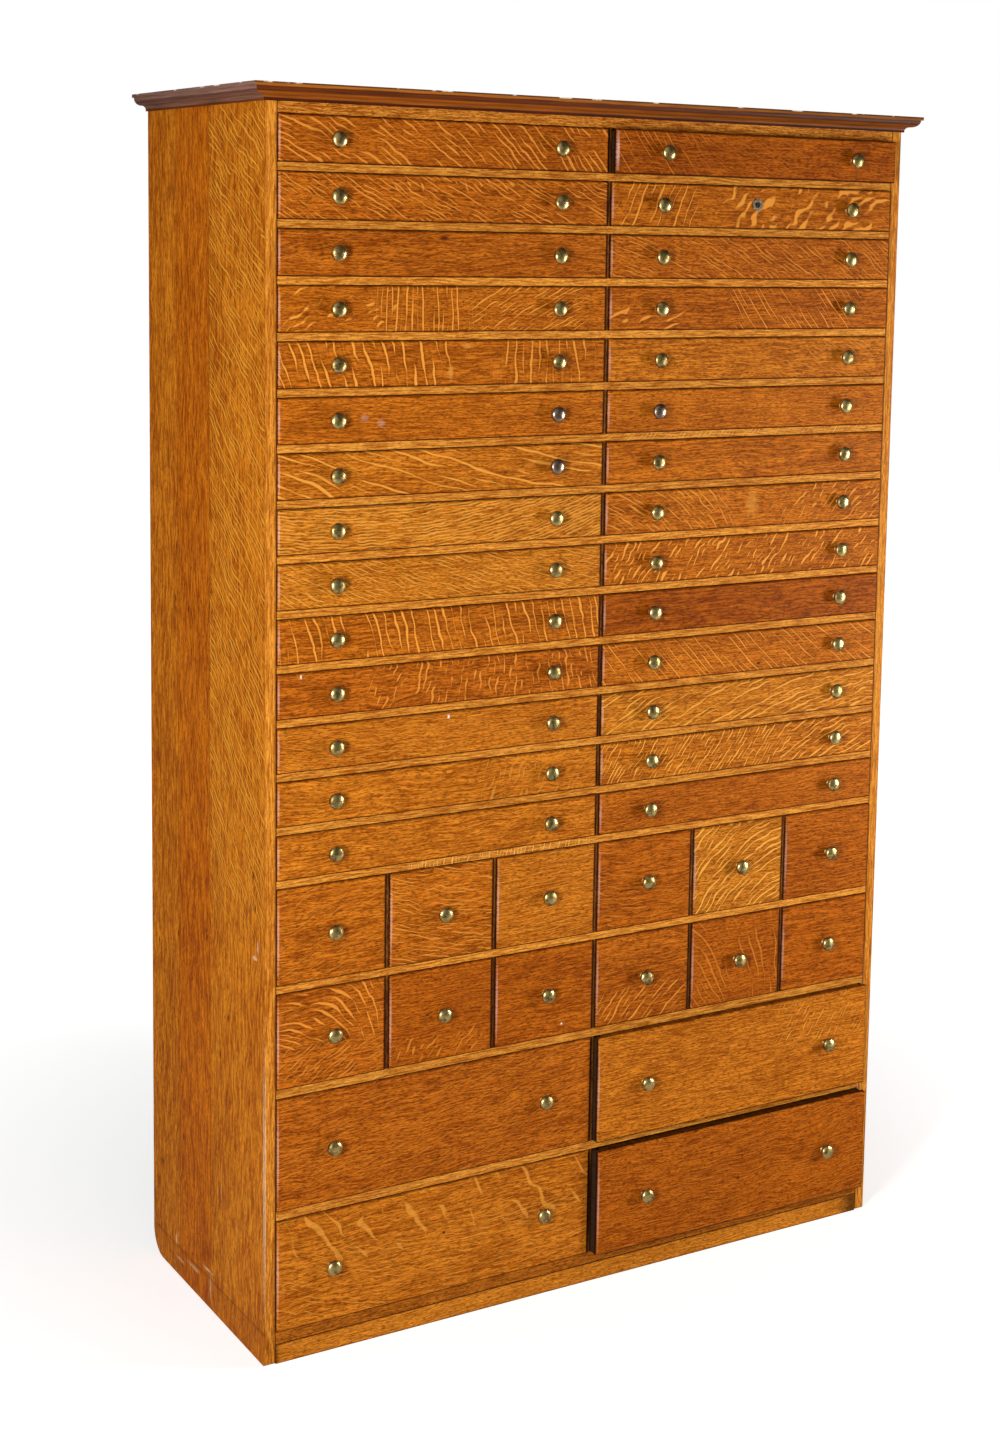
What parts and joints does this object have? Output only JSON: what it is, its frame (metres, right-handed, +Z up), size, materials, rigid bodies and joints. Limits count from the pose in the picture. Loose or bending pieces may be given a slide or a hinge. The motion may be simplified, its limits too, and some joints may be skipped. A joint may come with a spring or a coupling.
{
  "type": "haberdashery cabinet",
  "caption": "Tall oak shop cabinet of thin, small and deep drawers with brass knobs, a stained cornice and a low plinth.",
  "frame": {"origin": "on the floor, under the middle of the bounding box of the cabinet with its three drawers ajar", "axes": "+X right along the front, +Y from the front to the back, +Z up"},
  "size_m": [1.144, 0.477, 1.824],
  "materials": {
    "oak_side": "waxed quarter-sawn oak, vertical grain",
    "oak_rail": "waxed oak, lighter and golden",
    "oak_drawer": "waxed quarter-sawn oak with ray figure",
    "pine_inner": "bare aged pine",
    "stained_cornice": "dark red-brown stained moulding, worn edges",
    "lock_brass": "tarnished brass",
    "lock_steel": "dull steel",
    "knob_brass": "aged polished brass"
  },
  "bodies": {
    "carcase": {"side_left": "oak_side", "side_right": "oak_side", "bottom_board": "oak_rail", "plinth": "oak_rail", "drawer_rails": "oak_rail", "shelf_boards": "oak_rail", "top_board": "pine_inner", "centre_dividers": "oak_rail", "small_dividers": "oak_rail", "drawer_guides": "pine_inner", "drawer_runners": "pine_inner", "back_boards": "pine_inner", "cornice_moulding": "stained_cornice"},
    "thin_drawer_01_right": {"thin_drawer_01_right": "oak_drawer"},
    "thin_drawer_02_right": {"thin_drawer_02_right": "oak_drawer", "lock_case": "lock_brass"},
    "deep_drawer_1_right": {"deep_drawer_1_right": "oak_drawer"},
    "deep_drawer_2_right": {"deep_drawer_2_right": "oak_drawer"},
    "small_drawer_1_1": {"small_drawer_1_1": "oak_drawer"},
    "thin_drawer_01_left": {"thin_drawer_01_left": "oak_drawer"},
    "deep_drawer_2_left": {"deep_drawer_2_left": "oak_drawer"},
    "small_drawer_2_6": {"small_drawer_2_6": "oak_drawer"},
    "thin_drawer_02_left": {"thin_drawer_02_left": "oak_drawer"},
    "thin_drawer_03_left": {"thin_drawer_03_left": "oak_drawer"},
    "thin_drawer_03_right": {"thin_drawer_03_right": "oak_drawer"},
    "thin_drawer_04_left": {"thin_drawer_04_left": "oak_drawer"},
    "thin_drawer_04_right": {"thin_drawer_04_right": "oak_drawer"},
    "thin_drawer_05_left": {"thin_drawer_05_left": "oak_drawer"},
    "thin_drawer_05_right": {"thin_drawer_05_right": "oak_drawer"},
    "thin_drawer_06_left": {"thin_drawer_06_left": "oak_drawer"},
    "thin_drawer_06_right": {"thin_drawer_06_right": "oak_drawer"},
    "thin_drawer_07_left": {"thin_drawer_07_left": "oak_drawer"},
    "thin_drawer_07_right": {"thin_drawer_07_right": "oak_drawer"},
    "thin_drawer_08_left": {"thin_drawer_08_left": "oak_drawer"},
    "thin_drawer_08_right": {"thin_drawer_08_right": "oak_drawer"},
    "thin_drawer_09_left": {"thin_drawer_09_left": "oak_drawer"},
    "thin_drawer_09_right": {"thin_drawer_09_right": "oak_drawer"},
    "thin_drawer_10_left": {"thin_drawer_10_left": "oak_drawer"},
    "thin_drawer_10_right": {"thin_drawer_10_right": "oak_drawer"},
    "thin_drawer_11_left": {"thin_drawer_11_left": "oak_drawer"},
    "thin_drawer_11_right": {"thin_drawer_11_right": "oak_drawer"},
    "thin_drawer_12_left": {"thin_drawer_12_left": "oak_drawer"},
    "thin_drawer_12_right": {"thin_drawer_12_right": "oak_drawer"},
    "thin_drawer_13_left": {"thin_drawer_13_left": "oak_drawer"},
    "thin_drawer_13_right": {"thin_drawer_13_right": "oak_drawer"},
    "thin_drawer_14_left": {"thin_drawer_14_left": "oak_drawer"},
    "thin_drawer_14_right": {"thin_drawer_14_right": "oak_drawer"},
    "small_drawer_1_2": {"small_drawer_1_2": "oak_drawer"},
    "small_drawer_1_3": {"small_drawer_1_3": "oak_drawer"},
    "small_drawer_1_4": {"small_drawer_1_4": "oak_drawer"},
    "small_drawer_1_5": {"small_drawer_1_5": "oak_drawer"},
    "small_drawer_1_6": {"small_drawer_1_6": "oak_drawer"},
    "small_drawer_2_1": {"small_drawer_2_1": "oak_drawer"},
    "small_drawer_2_2": {"small_drawer_2_2": "oak_drawer"},
    "small_drawer_2_3": {"small_drawer_2_3": "oak_drawer"},
    "small_drawer_2_4": {"small_drawer_2_4": "oak_drawer"},
    "small_drawer_2_5": {"small_drawer_2_5": "oak_drawer"},
    "deep_drawer_1_left": {"deep_drawer_1_left": "oak_drawer"},
    "lock_plug": {"lock_plug": "lock_steel"},
    "lock_bolt": {"lock_bolt": "lock_steel"}
  },
  "joints": [
    {"name": "thin_drawer_01_right_slide", "type": "slide", "parent": "carcase", "child": "thin_drawer_01_right", "axis": [0, -1, 0], "range_m": [-0.009, 0.311]},
    {"name": "thin_drawer_02_right_slide", "type": "slide", "parent": "carcase", "child": "thin_drawer_02_right", "axis": [0, -1, 0], "range_m": [0, 0.32]},
    {"name": "lock_bolt_slide", "type": "slide", "parent": "thin_drawer_02_right", "child": "lock_bolt", "axis": [0, 0, 1], "range_m": [0, 0.005]},
    {"name": "lock_plug_turn", "type": "hinge", "parent": "thin_drawer_02_right", "child": "lock_plug", "pos_m": [0.26625, -0.2055, 1.67915], "axis": [0, 1, 0], "range_deg": [0, 90]},
    {"name": "deep_drawer_1_right_slide", "type": "slide", "parent": "carcase", "child": "deep_drawer_1_right", "axis": [0, -1, 0], "range_m": [-0.011, 0.309]},
    {"name": "deep_drawer_2_right_slide", "type": "slide", "parent": "carcase", "child": "deep_drawer_2_right", "axis": [0, -1, 0], "range_m": [-0.016, 0.304]},
    {"name": "small_drawer_1_1_slide", "type": "slide", "parent": "carcase", "child": "small_drawer_1_1", "axis": [0, -1, 0], "range_m": [0, 0.32]},
    {"name": "thin_drawer_01_left_slide", "type": "slide", "parent": "carcase", "child": "thin_drawer_01_left", "axis": [0, -1, 0], "range_m": [0, 0.32]},
    {"name": "deep_drawer_2_left_slide", "type": "slide", "parent": "carcase", "child": "deep_drawer_2_left", "axis": [0, -1, 0], "range_m": [0, 0.32]},
    {"name": "small_drawer_2_6_slide", "type": "slide", "parent": "carcase", "child": "small_drawer_2_6", "axis": [0, -1, 0], "range_m": [0, 0.32]},
    {"name": "thin_drawer_02_left_slide", "type": "slide", "parent": "carcase", "child": "thin_drawer_02_left", "axis": [0, -1, 0], "range_m": [0, 0.32]},
    {"name": "thin_drawer_03_left_slide", "type": "slide", "parent": "carcase", "child": "thin_drawer_03_left", "axis": [0, -1, 0], "range_m": [0, 0.32]},
    {"name": "thin_drawer_03_right_slide", "type": "slide", "parent": "carcase", "child": "thin_drawer_03_right", "axis": [0, -1, 0], "range_m": [0, 0.32]},
    {"name": "thin_drawer_04_left_slide", "type": "slide", "parent": "carcase", "child": "thin_drawer_04_left", "axis": [0, -1, 0], "range_m": [0, 0.32]},
    {"name": "thin_drawer_04_right_slide", "type": "slide", "parent": "carcase", "child": "thin_drawer_04_right", "axis": [0, -1, 0], "range_m": [0, 0.32]},
    {"name": "thin_drawer_05_left_slide", "type": "slide", "parent": "carcase", "child": "thin_drawer_05_left", "axis": [0, -1, 0], "range_m": [0, 0.32]},
    {"name": "thin_drawer_05_right_slide", "type": "slide", "parent": "carcase", "child": "thin_drawer_05_right", "axis": [0, -1, 0], "range_m": [0, 0.32]},
    {"name": "thin_drawer_06_left_slide", "type": "slide", "parent": "carcase", "child": "thin_drawer_06_left", "axis": [0, -1, 0], "range_m": [0, 0.32]},
    {"name": "thin_drawer_06_right_slide", "type": "slide", "parent": "carcase", "child": "thin_drawer_06_right", "axis": [0, -1, 0], "range_m": [0, 0.32]},
    {"name": "thin_drawer_07_left_slide", "type": "slide", "parent": "carcase", "child": "thin_drawer_07_left", "axis": [0, -1, 0], "range_m": [0, 0.32]},
    {"name": "thin_drawer_07_right_slide", "type": "slide", "parent": "carcase", "child": "thin_drawer_07_right", "axis": [0, -1, 0], "range_m": [0, 0.32]},
    {"name": "thin_drawer_08_left_slide", "type": "slide", "parent": "carcase", "child": "thin_drawer_08_left", "axis": [0, -1, 0], "range_m": [0, 0.32]},
    {"name": "thin_drawer_08_right_slide", "type": "slide", "parent": "carcase", "child": "thin_drawer_08_right", "axis": [0, -1, 0], "range_m": [0, 0.32]},
    {"name": "thin_drawer_09_left_slide", "type": "slide", "parent": "carcase", "child": "thin_drawer_09_left", "axis": [0, -1, 0], "range_m": [0, 0.32]},
    {"name": "thin_drawer_09_right_slide", "type": "slide", "parent": "carcase", "child": "thin_drawer_09_right", "axis": [0, -1, 0], "range_m": [0, 0.32]},
    {"name": "thin_drawer_10_left_slide", "type": "slide", "parent": "carcase", "child": "thin_drawer_10_left", "axis": [0, -1, 0], "range_m": [0, 0.32]},
    {"name": "thin_drawer_10_right_slide", "type": "slide", "parent": "carcase", "child": "thin_drawer_10_right", "axis": [0, -1, 0], "range_m": [0, 0.32]},
    {"name": "thin_drawer_11_left_slide", "type": "slide", "parent": "carcase", "child": "thin_drawer_11_left", "axis": [0, -1, 0], "range_m": [0, 0.32]},
    {"name": "thin_drawer_11_right_slide", "type": "slide", "parent": "carcase", "child": "thin_drawer_11_right", "axis": [0, -1, 0], "range_m": [0, 0.32]},
    {"name": "thin_drawer_12_left_slide", "type": "slide", "parent": "carcase", "child": "thin_drawer_12_left", "axis": [0, -1, 0], "range_m": [0, 0.32]},
    {"name": "thin_drawer_12_right_slide", "type": "slide", "parent": "carcase", "child": "thin_drawer_12_right", "axis": [0, -1, 0], "range_m": [0, 0.32]},
    {"name": "thin_drawer_13_left_slide", "type": "slide", "parent": "carcase", "child": "thin_drawer_13_left", "axis": [0, -1, 0], "range_m": [0, 0.32]},
    {"name": "thin_drawer_13_right_slide", "type": "slide", "parent": "carcase", "child": "thin_drawer_13_right", "axis": [0, -1, 0], "range_m": [0, 0.32]},
    {"name": "thin_drawer_14_left_slide", "type": "slide", "parent": "carcase", "child": "thin_drawer_14_left", "axis": [0, -1, 0], "range_m": [0, 0.32]},
    {"name": "thin_drawer_14_right_slide", "type": "slide", "parent": "carcase", "child": "thin_drawer_14_right", "axis": [0, -1, 0], "range_m": [0, 0.32]},
    {"name": "small_drawer_1_2_slide", "type": "slide", "parent": "carcase", "child": "small_drawer_1_2", "axis": [0, -1, 0], "range_m": [0, 0.32]},
    {"name": "small_drawer_1_3_slide", "type": "slide", "parent": "carcase", "child": "small_drawer_1_3", "axis": [0, -1, 0], "range_m": [0, 0.32]},
    {"name": "small_drawer_1_4_slide", "type": "slide", "parent": "carcase", "child": "small_drawer_1_4", "axis": [0, -1, 0], "range_m": [0, 0.32]},
    {"name": "small_drawer_1_5_slide", "type": "slide", "parent": "carcase", "child": "small_drawer_1_5", "axis": [0, -1, 0], "range_m": [0, 0.32]},
    {"name": "small_drawer_1_6_slide", "type": "slide", "parent": "carcase", "child": "small_drawer_1_6", "axis": [0, -1, 0], "range_m": [0, 0.32]},
    {"name": "small_drawer_2_1_slide", "type": "slide", "parent": "carcase", "child": "small_drawer_2_1", "axis": [0, -1, 0], "range_m": [0, 0.32]},
    {"name": "small_drawer_2_2_slide", "type": "slide", "parent": "carcase", "child": "small_drawer_2_2", "axis": [0, -1, 0], "range_m": [0, 0.32]},
    {"name": "small_drawer_2_3_slide", "type": "slide", "parent": "carcase", "child": "small_drawer_2_3", "axis": [0, -1, 0], "range_m": [0, 0.32]},
    {"name": "small_drawer_2_4_slide", "type": "slide", "parent": "carcase", "child": "small_drawer_2_4", "axis": [0, -1, 0], "range_m": [0, 0.32]},
    {"name": "small_drawer_2_5_slide", "type": "slide", "parent": "carcase", "child": "small_drawer_2_5", "axis": [0, -1, 0], "range_m": [0, 0.32]},
    {"name": "deep_drawer_1_left_slide", "type": "slide", "parent": "carcase", "child": "deep_drawer_1_left", "axis": [0, -1, 0], "range_m": [0, 0.32]}
  ],
  "couplings": [
    {"joint": "lock_plug_turn", "follows": "lock_bolt_slide", "rad_per_m": 314.15}
  ]
}
